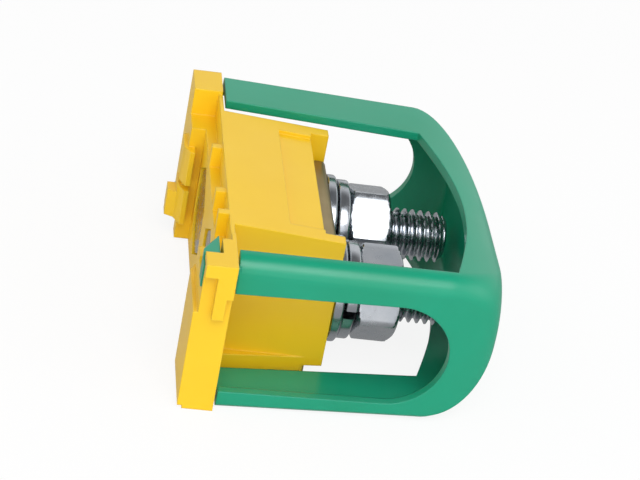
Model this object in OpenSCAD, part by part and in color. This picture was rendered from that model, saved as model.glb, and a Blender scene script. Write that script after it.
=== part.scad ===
// Rail-mounted stud terminal block: moulded base, bus bar, two bolted studs and a clipped-on hood.
// Lengths are in millimetres. X runs along the studs, away from the rail; Y runs along the row
// of studs; Z is up, and runs along the rail. The block lies on one side, as in the photograph.

/* [Studs] */
// Thread diameter of the two studs
stud_d = 8; // [6:0.5:10]
// Distance between the stud axes
stud_pitch = 18.5; // [18:0.5:21]
// Distance of the stud axes below the middle of the block
stud_drop = 1.8; // [0:0.1:2]
// Length of the stud that stands past the nut
stud_free = 9.5; // [5:0.5:10]
// Height of each hexagon nut
nut_h = 6.5; // [4:0.5:7]
// Turn of the front nut about its stud, in degrees
nut_turn_front = -19.5; // [-30:0.5:30]
// Turn of the rear nut about its stud, in degrees
nut_turn_rear = 11.5; // [-30:0.5:30]
// Height of the stud's hexagon head
head_h = 5.3; // [4:0.1:6]
// Thickness of the flat washers
flat_t = 1.6; // [1:0.1:2]
// Thickness of the spring washers
spring_t = 2.2; // [1.6:0.1:2.5]
// Width of the slit in the spring washers
spring_slit = 1.2; // [0.6:0.1:2]
// Running clearance round a stud, on the diameter
stud_clear = 0.5; // [0.2:0.05:1]

/* [Bus bar] */
// Thickness of the bus bar
bar_t = 3; // [2:0.25:4]
// Width of the bus bar, along the rail
bar_w = 17; // [14:0.5:17]

/* [Base] */
// Height of the raised block above the flange
block_h = 13.7; // [11:0.1:15]
// Slope of the block's long sides, in millimetres per millimetre of height
block_draft = 0.08; // [0.03:0.01:0.1]
// Thickness of the end lips of the block
lip_t = 2; // [1.5:0.1:3]
// Drop from the top of the bus bar to the end lips, so that washers can overhang them
lip_drop = 0.1; // [0.1:0.05:0.6]
// Gap between the bus bar and the end lips
bar_gap = 0.3; // [0.1:0.05:0.8]
// Thickness of the flange
flange_t = 4.5; // [4:0.1:6]
// Wall that closes the flange's slots on the outside
loop_t = 1.8; // [1.2:0.1:2.5]
// Depth of the shallow panel in the block's long sides
panel_depth = 0.6; // [0.3:0.1:1]
// Depth of the recesses along the flange's long edges
recess_d = 4; // [2:0.1:4.4]
// Thickness of flange left over the recesses
recess_top = 0.6; // [0.4:0.1:1.5]
// Length of the pocket behind each tongue
pocket_l = 14; // [10:0.5:16]
// Length of the window that shows each barb
window_l = 6; // [5.5:0.25:8]
// Thickness of the bridge that each barb hooks behind
bridge_t = 2.9; // [2.2:0.1:3.2]
// Wall of the bridge beside each tongue
bridge_w = 1; // [0.8:0.1:1.5]

/* [Rail foot] */
// Width of the rail that the foot takes
rail_w = 35; // [35:1:35]
// Thickness of the rail's edges
rail_t = 1; // [1:0.1:1.5]
// Clearance round the rail's edges
rail_clear = 0.3; // [0.2:0.05:0.6]
// Depth of the seat for the rail in the foot
seat_d = 2.3; // [1.5:0.1:2.5]
// Thickness of the foot's hooked lips
claw_t = 1.7; // [1.2:0.1:2.5]
// Reach of the hooked lips over the rail's edges
claw_reach = 1.7; // [1:0.1:2.5]
// Height of the catch on one of the lips
catch_h = 1.4; // [0.8:0.1:2]

/* [Hood] */
// Length of the hood along the row of studs
hood_l = 56.5; // [52:0.5:58]
// Width of the hood along the rail
hood_w = 25; // [24.5:0.25:28]
// Wall thickness of the hood
hood_wall = 1.4; // [1.2:0.1:1.6]
// Slope of the hood's end walls, in millimetres per millimetre of height
end_draft = 0.045; // [0.01:0.005:0.06]
// Slope of the hood's long sides, in millimetres per millimetre of height
side_draft = 0.02; // [0.005:0.005:0.03]
// Height of the hood's low shoulders above the flange
shoulder_h = 31; // [29:0.5:33]
// Rise of the hood's top above its shoulders
dome_rise = 9; // [8:0.5:11]
// Width of the flat legs at the low corners
leg_w = 9.2; // [7:0.1:9.6]
// Width of the corner legs on the end walls
post_w = 5.5; // [5:0.25:7]
// Width of the corner legs on the long sides
post_side = 3; // [2.5:0.25:5]
// Strip left beside the end slots at the low corners
edge_strip = 2.8; // [1.8:0.2:3.5]
// Clearance between the hood's tongues and their slots
tongue_clear = 0.3; // [0.2:0.05:0.6]
// Height of the barbs on the tongues
barb = 3; // [2:0.1:3.2]

/* [Hidden] */
$fn = 72;
eps = 0.05;
sheet = 0.02;
nut_af = stud_d * 1.625;
flat_d = stud_d * 2;
spring_d = stud_d * 1.85;
hole_d = stud_d + stud_clear;
block_l = stud_pitch + flat_d;
block_inset = 0.5;
block_w = hood_w - 2 * block_inset;
bar_l = block_l - 2 * lip_t - 2 * bar_gap;
bar_top = block_h + bar_t;
nut_x = bar_top + flat_t + spring_t;
stud_end = nut_x + nut_h + stud_free;
head_gap = 0.3;
seat_x = seat_d - flange_t;
head_x = seat_x + head_gap;
flange_l = hood_l + 2 * tongue_clear + 2 * loop_t;
flange_w = block_w;
loop_w = hood_w;
axis_z = hood_w / 2;
tongue_step = 0.6;
tongue_y = hood_l / 2 - hood_wall;
tongue_z = hood_w / 2 - post_w + tongue_step;
tongue_w = hood_w / 2 - bridge_w - tongue_clear - tongue_z;
tongue_out = 0.6;
tongue_end = -flange_t - tongue_out;
slot_y = tongue_y - tongue_clear;
slot_l = hood_wall + 2 * tongue_clear;
slot_z = tongue_z - tongue_clear;
slot_w = tongue_w + 2 * tongue_clear;
slot_out = slot_y + slot_l;
tab_l = flange_l / 2 - slot_out + window_l + loop_t;
rib_t = 1.2;
leg_gap = 0.4;
tongue_inset = 0.1;
rail_gap = rail_t + rail_clear;
claw_y = rail_w / 2 + rail_clear;
claw_x = seat_x - rail_gap - claw_t;
catch_x = claw_x - catch_h;
dome_h = shoulder_h + dome_rise;
shift_x = -(dome_h + catch_x) / 2;
roof_steps = 12;
// roof of the hood: corner radius at its foot, and what the corners and cuts become at its top
corner_r = 3;
corner_shrink = 0.6;
foot_edge = 0.6;
roof_crown = 3.2;
roof_swell = 5;
roof_cut_l = hood_l * 0.6;
roof_cut_w = hood_w * 0.36;
// arched edge of the side openings, and the top of the end slots
arch_lift = 1.2;
arch_rise = dome_rise * 0.44;
slot_top = dome_h - dome_rise * 0.78;
// foot: lengths and places of the hooked lips, and the pocket in the end wall
claw_l = 6;
claw_gap = 1;
claw_low = 3.7;
claw_back = 4.5;
claw_slope = claw_t * 0.55;
claw_edge = 0.6;
catch_l = 4.6;
catch_w = 3.2;
foot_gap = 2.5;
pit_rim = 1.2;
pit_inset = 3.5;
pit_end = 8;
pit_d = 1;
panel_foot = block_h * 0.62;
panel_rim = 1;
stud_edge = 1;
nut_bevel = 0.3;

function half_l(x, inset) = hood_l / 2 - end_draft * max(x, 0) - inset;
function half_w(x, inset) = hood_w / 2 - side_draft * max(x, 0) - inset;
function block_half(x) = block_w / 2 - block_draft * max(x, 0);

// Cross-section of the hood: two low corners cut back, two post corners rounded.
function section(hy, hz, cy, cz, r) = concat(
    [[hy - cy, hz]],
    [for (a = [90 : 15 : 180]) [-hy + r + r * cos(a), hz - r + r * sin(a)]],
    [[-hy, -hz + cz], [-hy + cy, -hz]],
    [for (a = [270 : 15 : 360]) [hy - r + r * cos(a), -hz + r + r * sin(a)]],
    [[hy, hz - cz]]);

// Moves a shape drawn about the stud axes into the part's frame.
module on_axis() { translate([shift_x, 0, axis_z]) children(); }

// Extrudes a drawing in Y and Z along X.
module along_x(h) { rotate([90, 0, 90]) linear_extrude(h) children(); }

// Copies a shape and its half-turn about the stud axis.
module twice() { children(); rotate([180, 0, 0]) children(); }

module hood_body(inset, foot) {
    round_r = corner_r - inset * corner_shrink;
    hull() {
        translate([foot, 0, 0]) along_x(sheet)
            polygon(section(half_l(foot, inset), half_w(foot, inset), foot_edge, foot_edge, round_r));
        for (k = [0 : roof_steps]) {
            a = 90 * k / roof_steps;
            x = shoulder_h - inset + dome_rise * sin(a) - sheet;
            turn = 1 - cos(a);
            in = inset + roof_crown * turn;
            translate([x, 0, 0]) along_x(sheet)
                polygon(section(half_l(x, in), half_w(x, in), foot_edge + roof_cut_l * turn,
                                foot_edge + roof_cut_w * turn, round_r + roof_swell * turn));
        }
    }
}

// Opening in a long side of the hood, between a flat leg and a corner leg.
module side_opening() {
    y0 = hood_l / 2 - leg_w;
    y1 = -hood_l / 2 + post_side;
    lean = end_draft * shoulder_h;
    n = 12;
    top = [for (k = [0 : n]) let (u = k / n)
        [shoulder_h + arch_lift * u + arch_rise * sin(180 * u), (y0 - lean) * (1 - u) + (y1 + lean) * u]];
    translate([0, 0, hood_w * 0.2]) linear_extrude(hood_w)
        polygon(concat([[-eps, y0]], top, [[-eps, y1]]));
}

// Slot with a round end in an end wall of the hood, between a corner leg and an edge strip.
module end_slot() {
    z0 = -hood_w / 2 + edge_strip;
    z1 = hood_w / 2 - post_w;
    r = (z1 - z0) / 2;
    translate([0, -hood_l * 0.2, 0]) rotate([90, 0, 0]) linear_extrude(hood_l)
        union() {
            translate([-eps, z0]) square([slot_top - r + eps, z1 - z0]);
            translate([slot_top - r, (z0 + z1) / 2]) circle(r);
        }
}

// Tongue that passes through the flange, with its barb on the rail side.
module tongue() {
    translate([tongue_end, -tongue_y - hood_wall + tongue_inset, tongue_z])
        cube([leg_gap + eps - tongue_end, hood_wall - tongue_inset, tongue_w]);
    translate([0, 0, tongue_z]) linear_extrude(tongue_w)
        polygon([[-bridge_t - leg_gap, -tongue_y - eps], [-bridge_t - leg_gap, -tongue_y + barb],
                 [tongue_end, -tongue_y - eps]]);
}

module hood() {
    color([0.1, 0.55, 0.42]) on_axis() union() {
        difference() {
            hood_body(0, leg_gap);
            hood_body(hood_wall, -leg_gap);
            twice() side_opening();
            twice() end_slot();
        }
        twice() tongue();
    }
}

module flange_plan() {
    square([flange_l, flange_w], center = true);
    for (s = [-1, 1]) scale([s, s]) {
        translate([flange_l / 2 - leg_w - loop_t, 0]) square([leg_w + loop_t, hood_w / 2]);
        translate([-flange_l / 2, 0]) square([tab_l, loop_w / 2]);
    }
}

// Slot for a tongue, and the window that shows its barb.
module tongue_cuts() {
    translate([-flange_t - eps, -slot_out, slot_z]) cube([flange_t + 2 * eps, slot_l, slot_w]);
    translate([-flange_t - eps, -slot_out, slot_z])
        cube([flange_t - bridge_t + eps, window_l, hood_w / 2 - slot_z + eps]);
}

// Pocket and recess along the flange's upper edge, with a rib between them.
module edge_cuts() {
    pocket_end = pocket_l - slot_out;
    recess_end = flange_l / 2 - leg_w - 2 * loop_t;
    for (y = [[window_l - slot_out - eps, pocket_end], [pocket_end + rib_t, recess_end]])
        translate([-flange_t - eps, y[0], block_w / 2 - recess_d])
            cube([flange_t - recess_top + eps, y[1] - y[0], hood_w / 2]);
}

// Hooked lip that holds an edge of the rail, drawn in X and Y, at the +Y side.
module claw(z, w, out) {
    translate([0, 0, z]) linear_extrude(w)
        polygon([[seat_x, claw_y], [seat_x - rail_gap, claw_y],
                 [seat_x - rail_gap, claw_y - rail_clear - claw_reach],
                 [claw_x + claw_slope, claw_y - rail_clear - claw_reach], [claw_x, claw_y],
                 [claw_x, out - claw_edge], [claw_x + claw_edge, out], [seat_x, out]]);
}

// Small catch on the low lip at the +Y side.
module catch() {
    translate([0, 0, -block_w / 2 + claw_low]) linear_extrude(catch_l)
        polygon([[claw_x + eps, claw_y], [catch_x, claw_y + catch_h / 2],
                 [catch_x, claw_y + catch_w], [claw_x + eps, claw_y + catch_w]]);
}

// Length of the block between two places along Y, as high as asked, with sloping long sides.
module block_run(y0, y1, h) {
    translate([0, y1, 0]) rotate([90, 0, 0]) linear_extrude(y1 - y0)
        polygon([[-eps, -block_w / 2], [0, -block_w / 2], [h, -block_half(h)],
                 [h, block_half(h)], [0, block_w / 2], [-eps, block_w / 2]]);
}

// Shallow panel in a long side of the block, as deep at its top as at its foot.
module side_panel() {
    end = block_l / 2 - lip_t - panel_rim;
    top = bar_top;
    translate([0, end, 0]) rotate([90, 0, 0]) linear_extrude(2 * end)
        polygon([[panel_foot, block_half(panel_foot) - panel_depth], [top, block_half(top) - panel_depth],
                 [top, hood_w / 2], [panel_foot, hood_w / 2]]);
}

module base() {
    claw_out = claw_y + claw_back;
    color([0.95, 0.76, 0.15]) on_axis() difference() {
        union() {
            difference() {
                translate([-flange_t, 0, 0]) along_x(flange_t) flange_plan();
                translate([-flange_t - eps, -claw_y, -hood_w / 2 - eps])
                    cube([seat_d + eps, 2 * claw_y, hood_w + 2 * eps]);
            }
            for (k = [0, 1])
                claw(-block_w / 2 + claw_low + k * (claw_l + claw_gap), claw_l, claw_out);
            catch();
            mirror([0, 1, 0]) claw(-block_w / 2, block_w - post_w - foot_gap, flange_l / 2);
            block_run(-block_l / 2, block_l / 2, block_h);
            twice() block_run(block_l / 2 - lip_t, block_l / 2, bar_top - lip_drop);
        }
        twice() tongue_cuts();
        edge_cuts();
        // holes for the studs, and hexagon seats for their heads
        for (s = [-1, 1]) translate([0, s * stud_pitch / 2, -stud_drop]) {
            translate([seat_x - eps, 0, 0]) rotate([0, 90, 0])
                cylinder(d = hole_d, h = block_h - seat_x + 2 * eps);
            translate([seat_x - eps, 0, 0]) rotate([0, 90, 0])
                cylinder(d = (nut_af + stud_clear) / cos(30), h = head_gap + head_h + eps, $fn = 6);
        }
        twice() side_panel();
        // long shallow pocket in the end wall
        translate([claw_x + pit_rim, -flange_l / 2 - eps, -block_w / 2 + pit_inset])
            cube([flange_t + claw_t, pit_d + eps, block_w - post_w - pit_end]);
    }
}

module bus_bar() {
    color([0.72, 0.6, 0.3]) on_axis() difference() {
        translate([block_h, -bar_l / 2, -stud_drop - bar_w / 2]) cube([bar_t, bar_l, bar_w]);
        for (s = [-1, 1]) translate([block_h - eps, s * stud_pitch / 2, -stud_drop])
            rotate([0, 90, 0]) cylinder(d = hole_d, h = bar_t + 2 * eps);
    }
}

// Screw with its hexagon head held in the base.
module stud(y) {
    color([0.78, 0.79, 0.8]) on_axis() translate([0, y, -stud_drop]) rotate([0, 90, 0]) union() {
        translate([0, 0, head_x]) cylinder(d = nut_af / cos(30), h = head_h, $fn = 6);
        translate([0, 0, head_x]) cylinder(d = stud_d, h = stud_end - head_x - stud_edge);
        translate([0, 0, stud_end - stud_edge - eps])
            cylinder(d1 = stud_d, d2 = stud_d - 2 * stud_edge, h = stud_edge + eps);
    }
}

module ring(y, x, d, t) {
    color([0.75, 0.76, 0.77]) on_axis() translate([x, y, -stud_drop]) rotate([0, 90, 0]) difference() {
        cylinder(d = d, h = t);
        translate([0, 0, -eps]) cylinder(d = hole_d, h = t + 2 * eps);
    }
}

module spring_washer(y) {
    difference() {
        ring(y, bar_top + flat_t, spring_d, spring_t);
        on_axis() translate([bar_top + flat_t - eps, y - spring_d, -stud_drop - spring_slit / 2])
            cube([spring_t + 2 * eps, spring_d, spring_slit]);
    }
}

module nut(y, turn) {
    color([0.78, 0.79, 0.8]) on_axis() translate([nut_x, y, -stud_drop])
    rotate([turn, 0, 0]) rotate([0, 90, 0]) difference() {
        intersection() {
            cylinder(d = nut_af / cos(30), h = nut_h, $fn = 6);
            cylinder(d = nut_af / cos(30) - nut_bevel, h = nut_h);
        }
        translate([0, 0, -eps]) cylinder(d = hole_d, h = nut_h + 2 * eps);
    }
}

module stud_front() { stud(-stud_pitch / 2); }
module stud_rear() { stud(stud_pitch / 2); }
module flat_washer_front() { ring(-stud_pitch / 2, bar_top, flat_d, flat_t); }
module flat_washer_rear() { ring(stud_pitch / 2, bar_top, flat_d, flat_t); }
module spring_washer_front() { spring_washer(-stud_pitch / 2); }
module spring_washer_rear() { spring_washer(stud_pitch / 2); }
module nut_front() { nut(-stud_pitch / 2, nut_turn_front); }
module nut_rear() { nut(stud_pitch / 2, nut_turn_rear); }

base();
bus_bar();
stud_front();
stud_rear();
flat_washer_front();
flat_washer_rear();
spring_washer_front();
spring_washer_rear();
nut_front();
nut_rear();
hood();
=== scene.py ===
"""Looks of a stud terminal block: moulded base and hood, bus bar, plated studs, washers and nuts."""
import math

import bmesh
import bpy
from mathutils import Matrix, Quaternion, Vector


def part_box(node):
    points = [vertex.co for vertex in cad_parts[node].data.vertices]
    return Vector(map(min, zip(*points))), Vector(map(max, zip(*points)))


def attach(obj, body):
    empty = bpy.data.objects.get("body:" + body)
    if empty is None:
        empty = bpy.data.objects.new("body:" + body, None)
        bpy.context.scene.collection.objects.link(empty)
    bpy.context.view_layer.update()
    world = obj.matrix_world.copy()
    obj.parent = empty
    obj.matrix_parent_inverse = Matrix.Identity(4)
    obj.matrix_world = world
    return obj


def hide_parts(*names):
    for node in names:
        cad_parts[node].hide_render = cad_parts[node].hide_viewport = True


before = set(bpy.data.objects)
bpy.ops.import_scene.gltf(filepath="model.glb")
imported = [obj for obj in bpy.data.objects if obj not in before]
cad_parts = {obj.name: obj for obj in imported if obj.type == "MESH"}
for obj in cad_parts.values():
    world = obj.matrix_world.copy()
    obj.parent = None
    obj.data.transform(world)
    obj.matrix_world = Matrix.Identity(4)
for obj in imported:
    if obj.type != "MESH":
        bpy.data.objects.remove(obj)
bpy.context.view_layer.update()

MM = 0.001
ENDS = ("front", "rear")
HALF_TURN = Matrix.Rotation(math.pi, 4, "X")

# Camera: aim point, angles and lens that give the photograph's view
AIM = Vector((-2.17, -6.8, 17.27)) * MM
AZIMUTH = math.radians(-10.1)
ELEVATION = math.radians(29.8)
ROLL = math.radians(11.35)
DISTANCE = 365 * MM
LENS = 137.6
SENSOR = 36.0

# Hood, in millimetres from the flange's face at the middle of the stud row, with X along the studs
HOOD_L = 56.5
HOOD_W = 25.0
HOOD_WALL = 1.4
END_DRAFT = 0.045
SIDE_DRAFT = 0.02
SHOULDER_H = 31.0
DOME_RISE = 9.0
DOME_H = SHOULDER_H + DOME_RISE
CORNER_R = 3.0
CORNER_SHRINK = 0.6
FOOT_EDGE = 0.6
LEG_GAP = 0.4
BELOW = -1.0
ROOF_CROWN = 3.2
ROOF_SWELL = 5.0
ROOF_CUT_L = HOOD_L * 0.6
ROOF_CUT_W = HOOD_W * 0.36
ROOF_STEPS = 18
ARC_STEP = 10

# Openings of the hood: what they leave of its walls, their arches and round ends, and where cutters begin
LEG_W = 9.2
LEG_TAPER = 0.9
POST_W = 5.5
POST_SIDE = 3.0
EDGE_STRIP = 2.8
ARCH_LIFT = 1.2
ARCH_RISE = DOME_RISE * 0.44
ARCH_STEPS = 40
SLOT_TOP = DOME_H - DOME_RISE * 0.78
SLOT_STEP = 5
CUT_FROM = 0.2

# Tongues under the corner legs, and their barbs
TONGUE_STEP = 0.6
TONGUE_CLEAR = 0.3
TONGUE_INSET = 0.1
TONGUE_END = -4.7
BRIDGE_T = 2.9
BRIDGE_W = 1.0
BARB = 5.6
BARB_FOOT = 1.6
BARB_SINK = 0.5
BARB_BACK = -26.4
BARB_TOP = 12.1
OVERLAP = 0.3

# Base, in the same frame. Cuts run past the moulding, to BACK, FACE, END and SIDE.
BACK = -7.0
FACE = 0.1
END = 31.0
SIDE = 13.0
FLANGE_T = 4.5
BLOCK_END = 17.25
STRAP_END = 29.2
STRAP_LOW = 3.6
STEPS_LOW = 3.5
BACK_STEP_X = -2.6
BACK_STEP_TOP = 10.4
FACE_STEP_X = -0.9
FACE_STEP_TOP = 7.1
WINDOW_X = -2.0
WINDOW_Y = (-26.6, -20.6)
WINDOW_Z = 7.3
LOOP_X = -2.8
LOOP_Y = -28.65
LOOP_Z = 11.5
RECESS_X = -0.6
RECESS_Y = (16.9, 22.6)
RECESS_Z = 8.0
RECESS_TOP = 12.0
TAB_END = 29.3
TAB_LOW = 1.0
RIB_X = (-2.2, -0.5)
RIB_Z = (7.9, 11.4)
RIB_T = 1.2
RIB_PLACES = (6.65, -6.65)
GUSSET_T = 1.6
GUSSET_L = 14.0
GUSSET_Z = (-11.9, -9.4)

# Spans in X, Y and Z: roof of the end loops; flange end, strap steps and barb window; far recess and tab
LOOP_ROOF = ((-FLANGE_T, LOOP_X), (LOOP_Y, WINDOW_Y[0]), (LOOP_Z, HOOD_W / 2))
LOOP_CUTS = (
    ((BACK, FACE), (-END, -STRAP_END), (-SIDE, STRAP_LOW)),
    ((BACK, BACK_STEP_X), (-END, -STRAP_END), (STEPS_LOW, BACK_STEP_TOP)),
    ((FACE_STEP_X, FACE), (-END, -STRAP_END), (STEPS_LOW, FACE_STEP_TOP)),
    ((BACK, WINDOW_X), WINDOW_Y, (WINDOW_Z, SIDE)),
)
UPPER_CUTS = (
    ((BACK, RECESS_X), RECESS_Y, (RECESS_Z, SIDE)),
    ((BACK, FACE), RECESS_Y, (RECESS_TOP, SIDE)),
    ((BACK, FACE), (TAB_END, END), (TAB_LOW, SIDE)),
)

# Studs, in millimetres; the thread's crest and flank are shares of half a pitch
PITCH = 1.25
THREAD_DEPTH = 0.72
CREST_SHARE = 0.12
FLANK_SHARE = 0.62
RINGS_PER_TURN = 12
AROUND = 96
STUD_R = 4.0
TIP_CHAMFER = 1.0
HEX_ACROSS = 13.0
HEAD_H = 5.3
HEAD_CHAMFER = 0.6
HEAD_EDGE = 0.1
HEAD_REACH = 1.14
STUD_SHARP = math.radians(45)

# Nuts: angle of one corner, chamfer and bore; a reach is a share of half the width across flats
NUT_CORNER = {"front": math.radians(10.5), "rear": math.radians(41.5)}
NUT_REACH = 1.145
NUT_FACE_SHARE = 0.475
NUT_SLOPE = math.tan(math.radians(60))
NUT_DEPTHS = (0.0, 0.08, 0.18, 0.3, 0.45, 0.65, 0.9)
NUT_BORE_R = 4.05
NUT_SINK = 0.5
NUT_SHARP = math.radians(25)

# Spring washers: play on the stud, climb to the second cut end, edge radius and half the split's angle
SPRING_PLAY = 0.25
SPRING_CLIMB = 0.35
SPRING_EDGE = 0.35
SPRING_EDGE_STEPS = (0, 30, 60, 90)
SPRING_SPLIT = 0.09
SPRING_SHARP = math.radians(40)

# Edges: radii rounded by the mouldings' shading, then the real rounding of the bar and flat washers
HOOD_ROUND = 0.35
BASE_ROUND = 0.28
EDGE_SAMPLES = 6
BAR_ROUND = 0.8
WASHER_ROUND = 0.4
ROUND_STEPS = 4
ROUND_ANGLE = math.radians(30)
FLAT_ANGLE = math.radians(0.5)
WELD = 0.03
SHARP = math.radians(28)
FACE_WEIGHT = 100

# Surfaces: tones of the body, of its drift and, on plastics, of a highlight painted on the rounded edges;
# roughness; noise scales
YELLOW_TONES = ((0.92, 0.59, 0.011), (0.89, 0.555, 0.009), (0.95, 0.65, 0.03))
YELLOW_ROUGH = 0.36
GREEN_TONES = ((0.004, 0.325, 0.185), (0.004, 0.30, 0.165), (0.015, 0.36, 0.22))
GREEN_ROUGH = 0.32
ZINC_TONES = ((0.46, 0.48, 0.51), (0.39, 0.42, 0.46))
ZINC_ROUGH = 0.22
ZINC_MARKS = 900.0
BRASS_TONES = ((0.36, 0.28, 0.15), (0.31, 0.24, 0.13))
BRASS_ROUGH = 0.38
BRASS_MARKS = 700.0
BRASS_STRETCH = (1.0, 0.06, 1.0)
PLASTIC_IOR = 1.5
DRIFT_SCALE = 70.0
DRIFT_DETAIL = 3.0
SHEEN_SCALE = 110.0
SHEEN_DETAIL = 1.0
SHEEN_SPREAD = 0.03
GRAIN_SCALE = 1500.0
GRAIN_DETAIL = 2.0
# Where the painted edge highlight begins and where it is full, as the dot of the rounded and the true normal
HIGHLIGHT_FROM = 0.97
HIGHLIGHT_TO = 0.75
PATCH_SCALE = 260.0
PATCH_DETAIL = 4.0
MARK_DETAIL = 3.0
MARK_SMOOTHER = 0.06
MARK_ROUGHER = 0.08
BUMP_STRENGTH = 0.06
BUMP_DEPTH = 0.02
NOISE_LOW = 0.3
NOISE_HIGH = 0.7

# Light: level of the surroundings where they only give light, and how they darken overhead
AMBIENT = 0.77
OVERHEAD_FROM = 0.70
OVERHEAD_TO = 0.90
OVERHEAD_LIGHT = 0.2

# Floor: half its side in metres, tone and roughness, share of its own white, and that white when mirrored
FLOOR_HALF = 1.5
FLOOR_TONE = 0.95
FLOOR_ROUGH = 0.9
FLOOR_SHARE = 0.88
FLOOR_MIRRORED = 0.4

# Lamps: name, place and size in metres, power in watts
LAMPS = (
    ("key_light", (0.02, -0.36, 0.52), 0.36, 1.9),
    ("front_light", (-0.12, -0.62, 0.20), 0.5, 0.5),
    ("side_light", (0.50, -0.20, 0.30), 0.35, 0.4),
)


def make_camera():
    """The photograph's camera, looking down at the block and rolled to its left."""
    back = Vector((math.sin(AZIMUTH) * math.cos(ELEVATION),
                   -math.cos(AZIMUTH) * math.cos(ELEVATION),
                   math.sin(ELEVATION)))
    data = bpy.data.cameras.new("camera")
    data.lens = LENS
    data.sensor_width = SENSOR
    camera = bpy.data.objects.new("camera", data)
    camera.location = AIM + back * DISTANCE
    camera.rotation_mode = "QUATERNION"
    camera.rotation_quaternion = (-back).to_track_quat("-Z", "Y") @ Quaternion((0, 0, 1), ROLL)
    bpy.context.collection.objects.link(camera)
    bpy.context.scene.camera = camera


# Materials

def add_node(tree, kind, **inputs):
    """New node with the named input sockets set, or linked where a socket is given."""
    made = tree.nodes.new(kind)
    for name, value in inputs.items():
        socket = made.inputs[name.replace("_", " ")]
        if isinstance(value, bpy.types.NodeSocket):
            tree.links.new(value, socket)
        else:
            socket.default_value = value
    return made


def math_node(tree, operation, first, second):
    """Result of one sum on a value socket and a socket or number."""
    made = tree.nodes.new("ShaderNodeMath")
    made.operation = operation
    tree.links.new(first, made.inputs[0])
    if isinstance(second, bpy.types.NodeSocket):
        tree.links.new(second, made.inputs[1])
    else:
        made.inputs[1].default_value = second
    return made.outputs[0]


def noise(tree, coords, scale, detail, stretch=None):
    """Noise texture in object coordinates, stretched along the axes if asked."""
    if stretch:
        coords = add_node(tree, "ShaderNodeMapping", Vector=coords, Scale=stretch).outputs["Vector"]
    return add_node(tree, "ShaderNodeTexNoise", Vector=coords, Scale=scale, Detail=detail).outputs["Fac"]


def spread(tree, value, low, high):
    """Maps a noise value onto a range."""
    return add_node(tree, "ShaderNodeMapRange", Value=value, From_Min=NOISE_LOW, From_Max=NOISE_HIGH,
                    To_Min=low, To_Max=high).outputs["Result"]


def mix_colours(tree, factor, first, second):
    """Colour between two colours or colour sockets."""
    mixed = tree.nodes.new("ShaderNodeMix")
    mixed.data_type = "RGBA"
    tree.links.new(factor, mixed.inputs["Factor"])
    for socket, colour in ((mixed.inputs[6], first), (mixed.inputs[7], second)):
        if isinstance(colour, bpy.types.NodeSocket):
            tree.links.new(colour, socket)
        else:
            socket.default_value = (*colour, 1)
    return mixed.outputs[2]


def start_material(name):
    """Empty node material: its tree, its shader and its object coordinates."""
    made = bpy.data.materials.new(name)
    made.use_nodes = True
    tree = made.node_tree
    shader = tree.nodes["Principled BSDF"]
    coords = tree.nodes.new("ShaderNodeTexCoord").outputs["Object"]
    return made, tree, shader, coords


def set_bump(tree, shader, height):
    """Fine relief from a height value."""
    bump = add_node(tree, "ShaderNodeBump", Height=height, Strength=BUMP_STRENGTH, Distance=BUMP_DEPTH * MM)
    tree.links.new(bump.outputs["Normal"], shader.inputs["Normal"])
    return bump


def moulded_plastic(name, tones, rough, edge_r):
    """Satin moulded plastic: soft colour drift, fine grain, uneven gloss, and rounded edges with a painted
    highlight that makes them paler.
    """
    clean, deep, edge_highlight_tone = tones
    made, tree, shader, coords = start_material(name)
    drift = spread(tree, noise(tree, coords, DRIFT_SCALE, DRIFT_DETAIL), 0.0, 1.0)
    body = mix_colours(tree, drift, clean, deep)
    edge = add_node(tree, "ShaderNodeBevel", Radius=edge_r * MM)
    edge.samples = EDGE_SAMPLES
    turned = tree.nodes.new("ShaderNodeVectorMath")
    turned.operation = "DOT_PRODUCT"
    tree.links.new(edge.outputs["Normal"], turned.inputs[0])
    tree.links.new(tree.nodes.new("ShaderNodeNewGeometry").outputs["Normal"], turned.inputs[1])
    # Painted highlight: the rounded edges get a paler tone, whatever the light
    painted_edge_highlight = add_node(tree, "ShaderNodeMapRange", Value=turned.outputs["Value"],
                    From_Min=HIGHLIGHT_FROM, From_Max=HIGHLIGHT_TO).outputs["Result"]
    tree.links.new(mix_colours(tree, painted_edge_highlight, body, edge_highlight_tone), shader.inputs["Base Color"])
    sheen = noise(tree, coords, SHEEN_SCALE, SHEEN_DETAIL)
    dullness = spread(tree, sheen, rough - SHEEN_SPREAD, rough + SHEEN_SPREAD)
    tree.links.new(dullness, shader.inputs["Roughness"])
    shader.inputs["IOR"].default_value = PLASTIC_IOR
    bump = set_bump(tree, shader, noise(tree, coords, GRAIN_SCALE, GRAIN_DETAIL))
    tree.links.new(edge.outputs["Normal"], bump.inputs["Normal"])
    return made


def plated_metal(name, tones, rough, scale, stretch=None):
    """Plated metal: two plating tints in patches, uneven gloss and fine tool marks."""
    made, tree, shader, coords = start_material(name)
    patch = spread(tree, noise(tree, coords, PATCH_SCALE, PATCH_DETAIL), 0.0, 1.0)
    tree.links.new(mix_colours(tree, patch, *tones), shader.inputs["Base Color"])
    shader.inputs["Metallic"].default_value = 1.0
    marks = noise(tree, coords, scale, MARK_DETAIL, stretch)
    dullness = spread(tree, marks, rough - MARK_SMOOTHER, rough + MARK_ROUGHER)
    tree.links.new(dullness, shader.inputs["Roughness"])
    set_bump(tree, shader, marks)
    return made


YELLOW = moulded_plastic("yellow_moulding", YELLOW_TONES, YELLOW_ROUGH, BASE_ROUND)
GREEN = moulded_plastic("green_moulding", GREEN_TONES, GREEN_ROUGH, HOOD_ROUND)
ZINC = plated_metal("zinc_plate", ZINC_TONES, ZINC_ROUGH, ZINC_MARKS)
BRASS = plated_metal("bar_plate", BRASS_TONES, BRASS_ROUGH, BRASS_MARKS, BRASS_STRETCH)


# Meshes

def link_mesh(name, mesh, surface):
    """Object for a mesh with one surface, linked into the scene."""
    made = bpy.data.objects.new(name, mesh)
    mesh.materials.clear()
    mesh.materials.append(surface)
    bpy.context.collection.objects.link(made)
    return made


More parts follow.
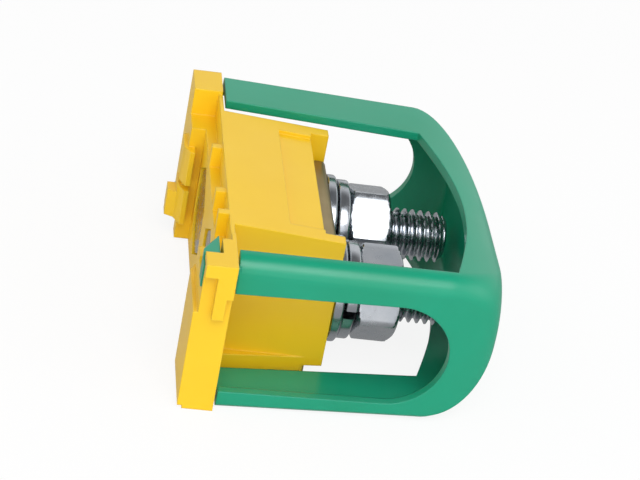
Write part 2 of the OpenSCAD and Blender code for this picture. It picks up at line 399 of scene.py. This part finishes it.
def mesh_from(name, bm):
    """Mesh from a bmesh, with its normals facing out."""
    bmesh.ops.recalc_face_normals(bm, faces=bm.faces)
    mesh = bpy.data.meshes.new(name)
    bm.to_mesh(mesh)
    bm.free()
    return mesh


def loft(rings, closed):
    """Bmesh through rings of equal count: joined end to end, or capped at both ends."""
    bm = bmesh.new()
    made = [[bm.verts.new(p) for p in ring] for ring in rings]
    count = len(made[0])
    pairs = list(zip(made, made[1:])) + ([(made[-1], made[0])] if closed else [])
    for low, high in pairs:
        for i in range(count):
            j = (i + 1) % count
            bm.faces.new((low[i], low[j], high[j], high[i]))
    if not closed:
        bm.faces.new(made[0])
        bm.faces.new(made[-1])
    return bm


def ring_at(x, centre, radius):
    """Points round the X axis at a place along it; radius is a function of the angle."""
    points = []
    for i in range(AROUND):
        a = math.tau * i / AROUND
        r = radius(a)
        points.append((x * MM, centre.y + r * math.cos(a) * MM, centre.z + r * math.sin(a) * MM))
    return points


def hex_radius(angle, corner):
    """Distance from the middle of a hexagon to its side at an angle; one corner lies at corner."""
    a = (angle - corner) % (math.pi / 3) - math.pi / 6
    return HEX_ACROSS / 2 / math.cos(a)


def along_z(a, b, h):
    """Outline point in X and Y at a height in Z."""
    return a, b, h


def along_y(a, b, h):
    """Outline point in X and Z at a distance against Y."""
    return a, -h, b


def prism_object(name, outline, span, to_point, place, surface):
    """Prism over an outline: to_point turns an outline point and a height into a place."""
    rings = [[place @ (Vector(to_point(a, b, h)) * MM) for a, b in outline] for h in span]
    return link_mesh(name, mesh_from(name, loft(rings, closed=False)), surface)


def box_object(name, spans, place, surface):
    """Box between its lowest and highest X, Y and Z, in millimetres."""
    (x0, x1), (y0, y1), span = spans
    outline = [(x0, y0), (x1, y0), (x1, y1), (x0, y1)]
    return prism_object(name, outline, span, along_z, place, surface)


def applied(obj):
    """Gives an object its mesh with the modifiers applied."""
    graph = bpy.context.evaluated_depsgraph_get()
    mesh = bpy.data.meshes.new_from_object(obj.evaluated_get(graph))
    obj.modifiers.clear()
    obj.data = mesh


def combine(target, others, operation):
    """Boolean of an object with others, which are used up."""
    for other in others:
        step = target.modifiers.new(other.name, "BOOLEAN")
        step.operation = operation
        step.solver = "EXACT"
        step.object = other
        applied(target)
        bpy.data.objects.remove(other)


def smooth(obj, angle):
    """Smooth shading that keeps edges sharper than the angle."""
    bm = bmesh.new()
    bm.from_mesh(obj.data)
    for face in bm.faces:
        face.smooth = True
    for edge in bm.edges:
        edge.smooth = edge.is_manifold and edge.calc_face_angle(0) < angle
    bm.to_mesh(obj.data)
    bm.free()


def weigh_normals(obj, keep_sharp):
    """Applies the modifiers so far, with normals that keep flat faces flat."""
    weigh = obj.modifiers.new("weigh", "WEIGHTED_NORMAL")
    weigh.mode = "FACE_AREA"
    weigh.weight = FACE_WEIGHT
    weigh.keep_sharp = keep_sharp
    applied(obj)


def shade(obj):
    """Smooth shading that keeps flat faces flat and edges sharp."""
    smooth(obj, SHARP)
    weigh_normals(obj, keep_sharp=True)


def round_edges(obj, width):
    """Joins the flat faces of a piece and rounds its edges."""
    bm = bmesh.new()
    bm.from_mesh(obj.data)
    bmesh.ops.remove_doubles(bm, verts=bm.verts, dist=WELD * MM)
    bmesh.ops.dissolve_degenerate(bm, dist=WELD * MM, edges=bm.edges)
    bmesh.ops.dissolve_limit(bm, angle_limit=FLAT_ANGLE, verts=bm.verts, edges=bm.edges)
    bmesh.ops.recalc_face_normals(bm, faces=bm.faces)
    for face in bm.faces:
        face.smooth = True
    for edge in bm.edges:
        edge.smooth = True
    bm.to_mesh(obj.data)
    bm.free()
    bevel = obj.modifiers.new("round", "BEVEL")
    bevel.width = width * MM
    bevel.segments = ROUND_STEPS
    bevel.limit_method = "ANGLE"
    bevel.angle_limit = ROUND_ANGLE
    bevel.use_clamp_overlap = False
    weigh_normals(obj, keep_sharp=False)


def middle(node):
    """Middle of a node's box."""
    low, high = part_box(node)
    return (low + high) / 2


def finish_piece(obj, node):
    """Seats a piece on the block's one body and hides the solid it stands for."""
    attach(obj, "root")
    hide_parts(node)


def both_places():
    """Frame of the drawings, at the flange's face in the middle of the stud row, and its half turn."""
    low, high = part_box("hood")
    place = Matrix.Translation((high.x - DOME_H * MM, 0, (low.z + high.z) / 2))
    return place, place @ HALF_TURN


# Hood

def hood_section(hy, hz, cy, cz, r):
    """Outline of the hood: two low corners cut back, two post corners rounded."""
    arc = [math.radians(a) for a in range(90, 181, ARC_STEP)]
    half = [(hy - cy, hz)]
    half += [(-hy + r + r * math.cos(a), hz - r + r * math.sin(a)) for a in arc]
    half += [(-hy, -hz + cz)]
    return half + [(-y, -z) for y, z in half]


def hood_points(inset, foot):
    """Points whose hull is the hood, closed at the top and cut flat at the foot."""
    def level(x, pull, cut_l, cut_w, r):
        hy = HOOD_L / 2 - END_DRAFT * max(x, 0) - pull
        hz = HOOD_W / 2 - SIDE_DRAFT * max(x, 0) - pull
        return [(x, y, z) for y, z in hood_section(hy, hz, cut_l, cut_w, r)]
    r = CORNER_R - inset * CORNER_SHRINK
    points = level(foot, inset, FOOT_EDGE, FOOT_EDGE, r)
    for k in range(ROOF_STEPS + 1):
        a = math.pi / 2 * k / ROOF_STEPS
        turn = 1 - math.cos(a)
        x = SHOULDER_H - inset + DOME_RISE * math.sin(a)
        points += level(x, inset + ROOF_CROWN * turn, FOOT_EDGE + ROOF_CUT_L * turn,
                        FOOT_EDGE + ROOF_CUT_W * turn, r + ROOF_SWELL * turn)
    return points


def hull_object(name, points, place):
    """Green object with the convex hull of points, in millimetres, moved by a matrix."""
    bm = bmesh.new()
    for p in points:
        bm.verts.new(place @ (Vector(p) * MM))
    bmesh.ops.convex_hull(bm, input=bm.verts)
    loose = [v for v in bm.verts if not v.link_faces]
    bmesh.ops.delete(bm, geom=loose, context="VERTS")
    return link_mesh(name, mesh_from(name, bm), GREEN)


def side_opening(place):
    """Cutter for an opening in a long side, arched at the top and wider at the foot of the flat leg."""
    y0 = HOOD_L / 2 - LEG_W
    y1 = -HOOD_L / 2 + POST_SIDE
    lean = END_DRAFT * SHOULDER_H
    outline = [(BELOW, y0 + LEG_TAPER)]
    for k in range(ARCH_STEPS + 1):
        u = k / ARCH_STEPS
        x = SHOULDER_H + ARCH_LIFT * u + ARCH_RISE * math.sin(math.pi * u)
        outline.append((x, (y0 - lean) * (1 - u) + (y1 + lean) * u))
    outline.append((BELOW, y1))
    return prism_object("opening", outline, (HOOD_W * CUT_FROM, HOOD_W), along_z, place, GREEN)


def end_slot(place):
    """Cutter for a slot with a round end in an end wall."""
    z0 = -HOOD_W / 2 + EDGE_STRIP
    z1 = HOOD_W / 2 - POST_W
    r = (z1 - z0) / 2
    outline = [(BELOW, z1), (BELOW, z0)]
    for a in range(-90, 91, SLOT_STEP):
        turn = math.radians(a)
        outline.append((SLOT_TOP - r + r * math.cos(turn), (z0 + z1) / 2 + r * math.sin(turn)))
    return prism_object("slot", outline, (HOOD_L * CUT_FROM, HOOD_L), along_y, place, GREEN)


def tongue(place):
    """Pieces of the tongue under a corner leg and of its barb."""
    y = HOOD_L / 2 - HOOD_WALL
    z0 = HOOD_W / 2 - POST_W + TONGUE_STEP
    z1 = HOOD_W / 2 - BRIDGE_W - TONGUE_CLEAR
    hook = -BRIDGE_T + BARB_SINK
    outer = -HOOD_L / 2 + TONGUE_INSET
    root = LEG_GAP + OVERLAP
    strip = [(root, outer), (root, -y), (TONGUE_END, -y), (TONGUE_END, outer)]
    barb = [(hook, -y - OVERLAP), (hook, -y + BARB),
            (TONGUE_END, -y + BARB_FOOT), (TONGUE_END, -y - OVERLAP)]
    top = barb[1:3] + [(TONGUE_END, BARB_BACK), (hook, BARB_BACK)]
    return [prism_object("tongue", strip, (z0, z1), along_z, place, GREEN),
            prism_object("barb", barb, (z0, z1), along_z, place, GREEN),
            prism_object("barb_top", top, (z0, BARB_TOP), along_z, place, GREEN)]


def make_hood():
    """Thin moulded hood with openings, slots and tongues."""
    places = both_places()
    hood = hull_object("hood_shell", hood_points(0, LEG_GAP), places[0])
    inside = hull_object("hood_inside", hood_points(HOOD_WALL, BELOW), places[0])
    combine(hood, [inside] + [make(p) for make in (side_opening, end_slot) for p in places], "DIFFERENCE")
    combine(hood, [piece for p in places for piece in tongue(p)], "UNION")
    shade(hood)
    finish_piece(hood, "hood")


# Base, bar and flat washers, from copies of the solids

def make_base():
    """Moulded base: the solid with its end loops stepped, roofed and trimmed, two ribs and a near gusset."""
    piece = link_mesh("moulded_base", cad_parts["base"].data.copy(), YELLOW)
    places = both_places()
    gusset = [(-OVERLAP, -BLOCK_END), (0, -BLOCK_END - GUSSET_T),
              (GUSSET_L, -BLOCK_END), (0, -BLOCK_END + OVERLAP)]
    added = [box_object("roof", LOOP_ROOF, place, YELLOW) for place in places]
    added.append(prism_object("gusset", gusset, GUSSET_Z, along_z, places[0], YELLOW))
    for y in RIB_PLACES:
        added.append(box_object("rib", (RIB_X, (y - RIB_T / 2, y + RIB_T / 2), RIB_Z), places[0], YELLOW))
    combine(piece, added, "UNION")
    cuts = [box_object("cut", spans, place, YELLOW) for spans in LOOP_CUTS for place in places]
    cuts += [box_object("cut", spans, places[0], YELLOW) for spans in UPPER_CUTS]
    combine(piece, cuts, "DIFFERENCE")
    shade(piece)
    finish_piece(piece, "base")


def rounded_copy(node, name, surface, width):
    """Copy of a solid with its edges rounded."""
    piece = link_mesh(name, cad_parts[node].data.copy(), surface)
    round_edges(piece, width)
    finish_piece(piece, node)


# Studs, nuts and spring washers

def thread_radius(x, angle):
    """Radius of the stud's thread at a place along it and an angle round it."""
    turn = (x / PITCH - angle / math.tau) % 1.0
    off_crest = abs(2 * turn - 1)
    return STUD_R - THREAD_DEPTH * min(max((off_crest - CREST_SHARE) / FLANK_SHARE, 0), 1)


def make_stud(end):
    """Fully threaded stud with its hexagon head."""
    node = "stud_" + end
    low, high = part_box(node)
    centre = middle(node)
    start, tip = low.x / MM, high.x / MM
    head_top = start + HEAD_H

    def head(inset):
        return lambda a: min(hex_radius(a, math.pi / 2), HEX_ACROSS / 2 * HEAD_REACH - inset)

    rings = []
    for x, inset in ((start, HEAD_CHAMFER), (start + HEAD_CHAMFER, 0),
                     (head_top - HEAD_EDGE, 0), (head_top, HEAD_EDGE)):
        rings.append(ring_at(x, centre, head(inset)))
    steps = round((tip - head_top) / PITCH * RINGS_PER_TURN)
    for k in range(steps + 1):
        x = head_top + (tip - head_top) * k / steps
        limit = STUD_R - TIP_CHAMFER + (tip - x)
        rings.append(ring_at(x, centre, lambda a, x=x, m=limit: min(thread_radius(x, a), m)))
    name = "stud_screw_" + end
    stud = link_mesh(name, mesh_from(name, loft(rings, closed=False)), ZINC)
    smooth(stud, STUD_SHARP)
    finish_piece(stud, node)


def make_nut(end):
    """Hexagon nut with chamfered corners and a countersunk bore."""
    node = "nut_" + end
    low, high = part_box(node)
    centre = middle(node)
    start, height = low.x / MM, (high.x - low.x) / MM
    levels = [*NUT_DEPTHS, *(height - d for d in reversed(NUT_DEPTHS))]

    def outline(depth):
        edge = min(HEX_ACROSS * NUT_FACE_SHARE + depth * NUT_SLOPE, HEX_ACROSS / 2 * NUT_REACH)
        return lambda a: min(hex_radius(a, NUT_CORNER[end]), edge)

    rings = [ring_at(start + x, centre, outline(min(x, height - x))) for x in levels]
    for x, r in ((height, NUT_BORE_R + NUT_SINK), (height - NUT_SINK, NUT_BORE_R),
                 (NUT_SINK, NUT_BORE_R), (0, NUT_BORE_R + NUT_SINK)):
        rings.append(ring_at(start + x, centre, lambda a, r=r: r))
    name = "hex_nut_" + end
    nut = link_mesh(name, mesh_from(name, loft(rings, closed=True)), ZINC)
    smooth(nut, NUT_SHARP)
    finish_piece(nut, node)


def make_spring_washer(end):
    """Split washer: a rounded square section that climbs a little from one cut end to the other."""
    node = "spring_washer_" + end
    low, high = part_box(node)
    centre = middle(node)
    start, height = low.x / MM, (high.x - low.x) / MM
    outer = (high.z - low.z) / 2 / MM
    inner = STUD_R + SPRING_PLAY
    thick = height - SPRING_CLIMB
    r = SPRING_EDGE
    section = []
    corners = ((thick - r, outer - r, 0), (r, outer - r, 90),
               (r, inner + r, 180), (thick - r, inner + r, 270))
    for u, v, first in corners:
        for step in SPRING_EDGE_STEPS:
            turn = math.radians(first + step)
            section.append((u + r * math.cos(turn), v + r * math.sin(turn)))
    rings = []
    for k in range(AROUND + 1):
        share = k / AROUND
        a = math.pi + SPRING_SPLIT + (math.tau - 2 * SPRING_SPLIT) * share
        rings.append([((start + u + SPRING_CLIMB * share) * MM, centre.y + v * math.cos(a) * MM,
                       centre.z + v * math.sin(a) * MM) for u, v in section])
    name = "split_washer_" + end
    washer = link_mesh(name, mesh_from(name, loft(rings, closed=False)), ZINC)
    smooth(washer, SPRING_SHARP)
    finish_piece(washer, node)


# Stage and light

def seen_share(tree, share):
    """Share for rays that come from the camera, a reflection or a clear body, and nothing for others."""
    path = tree.nodes.new("ShaderNodeLightPath")
    seen = path.outputs["Is Camera Ray"]
    for name in ("Is Glossy Ray", "Is Transmission Ray"):
        seen = math_node(tree, "MAXIMUM", seen, path.outputs[name])
    return math_node(tree, "MULTIPLY", seen, share)


def make_floor():
    """Pale floor that keeps the block's soft shadow."""
    bm = bmesh.new()
    corners = ((-1, -1), (1, -1), (1, 1), (-1, 1))
    bm.faces.new([bm.verts.new((x * FLOOR_HALF, y * FLOOR_HALF, 0)) for x, y in corners])
    made, tree, shader, _ = start_material("pale_floor")
    shader.inputs["Base Color"].default_value = (FLOOR_TONE, FLOOR_TONE, FLOOR_TONE, 1)
    shader.inputs["Roughness"].default_value = FLOOR_ROUGH
    camera = tree.nodes.new("ShaderNodeLightPath").outputs["Is Camera Ray"]
    level = math_node(tree, "MAXIMUM", camera, FLOOR_MIRRORED)
    white = add_node(tree, "ShaderNodeEmission", Strength=level)
    mixed = add_node(tree, "ShaderNodeMixShader", Fac=seen_share(tree, FLOOR_SHARE))
    tree.links.new(shader.outputs["BSDF"], mixed.inputs[1])
    tree.links.new(white.outputs["Emission"], mixed.inputs[2])
    tree.links.new(mixed.outputs["Shader"], tree.nodes["Material Output"].inputs["Surface"])
    link_mesh("floor", mesh_from("floor", bm), made)


def make_world():
    """White surroundings, dimmer where they only give light and darker overhead, as in a studio."""
    world = bpy.data.worlds.new("surroundings")
    bpy.context.scene.world = world
    world.use_nodes = True
    tree = world.node_tree
    way = tree.nodes.new("ShaderNodeTexCoord").outputs["Generated"]
    up = add_node(tree, "ShaderNodeSeparateXYZ", Vector=way).outputs["Z"]
    dusk = add_node(tree, "ShaderNodeMapRange", Value=up, From_Min=OVERHEAD_FROM, From_Max=OVERHEAD_TO,
                    To_Min=1.0, To_Max=OVERHEAD_LIGHT).outputs["Result"]
    level = math_node(tree, "ADD", seen_share(tree, 1 - AMBIENT), AMBIENT)
    graded = math_node(tree, "MULTIPLY", level, dusk)
    camera = tree.nodes.new("ShaderNodeLightPath").outputs["Is Camera Ray"]
    background = tree.nodes["Background"]
    background.inputs["Color"].default_value = (1, 1, 1, 1)
    tree.links.new(math_node(tree, "MAXIMUM", graded, camera), background.inputs["Strength"])


def make_lamp(name, place, size, power):
    """Soft square lamp that faces the block."""
    data = bpy.data.lights.new(name, "AREA")
    data.shape = "SQUARE"
    data.size = size
    data.energy = power
    lamp = bpy.data.objects.new(name, data)
    lamp.location = place
    lamp.rotation_mode = "QUATERNION"
    lamp.rotation_quaternion = (AIM - Vector(place)).to_track_quat("-Z", "Y")
    bpy.context.collection.objects.link(lamp)


make_camera()
make_hood()
make_base()
rounded_copy("bus_bar", "plated_bar", BRASS, BAR_ROUND)
for end in ENDS:
    rounded_copy("flat_washer_" + end, "plain_washer_" + end, ZINC, WASHER_ROUND)
    make_spring_washer(end)
    make_nut(end)
    make_stud(end)
make_floor()
make_world()
for lamp in LAMPS:
    make_lamp(*lamp)
bpy.context.scene.view_settings.view_transform = "Standard"
